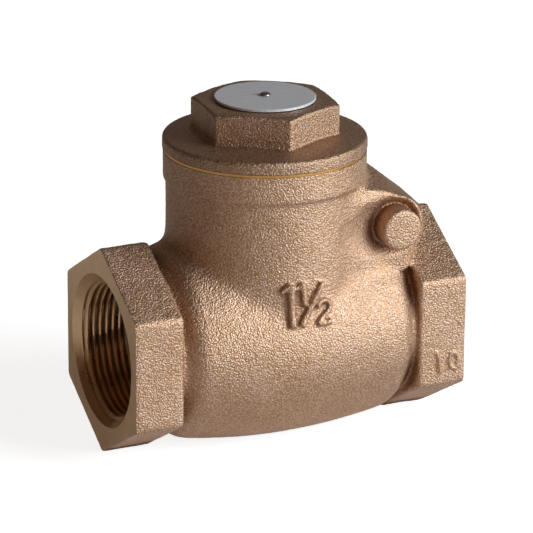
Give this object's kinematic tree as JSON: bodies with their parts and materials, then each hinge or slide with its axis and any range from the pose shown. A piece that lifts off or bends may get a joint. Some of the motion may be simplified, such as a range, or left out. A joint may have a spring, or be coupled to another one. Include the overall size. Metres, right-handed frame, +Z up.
{
  "type": "swing check valve",
  "caption": "Bronze swing check valve with threaded hexagon ends, a screwed hexagon cap with a round plate, and a hinged disc that the flow swings open.",
  "frame": {"origin": "where the axis of the bore meets the upright middle plane, halfway between the two end faces", "axes": "X along the bore, +X towards the inlet, on the hinge's side, so the flow runs towards -X; +Z up the neck to the cap; +Y towards the plug that keeps the hinge pin in"},
  "size_m": [0.12, 0.0718, 0.1183],
  "materials": {
    "cast_bronze": "sand-cast bronze, shot-blasted, matt and grainy",
    "machined_bronze": "turned bronze",
    "brass": "turned brass",
    "aluminium": "brushed sheet",
    "stainless_steel": "drawn bar and wire",
    "gasket_fibre": "pressed fibre sheet, matt"
  },
  "bodies": {
    "housing": {"body": "cast_bronze", "cap": "cast_bronze", "cap_gasket": "gasket_fibre", "name_plate": "aluminium", "name_plate_rivet": "aluminium", "hinge_pin": "stainless_steel", "hinge_pin_plug": "brass", "plug_gasket": "gasket_fibre"},
    "arm": {"disc_arm": "cast_bronze"},
    "closure": {"disc": "machined_bronze", "disc_washer": "brass", "disc_nut": "brass", "disc_split_pin": "stainless_steel"}
  },
  "joints": [
    {"name": "disc_swing", "type": "hinge", "parent": "housing", "child": "arm", "pos_m": [0.036, 0, 0.0383], "axis": [0, 1, 0], "range_deg": [0, 80]},
    {"name": "disc_spin", "type": "hinge", "parent": "arm", "child": "closure", "pos_m": [0.03, 0, 0], "axis": [-0.9962, 0, 0.0872], "continuous": true}
  ]
}
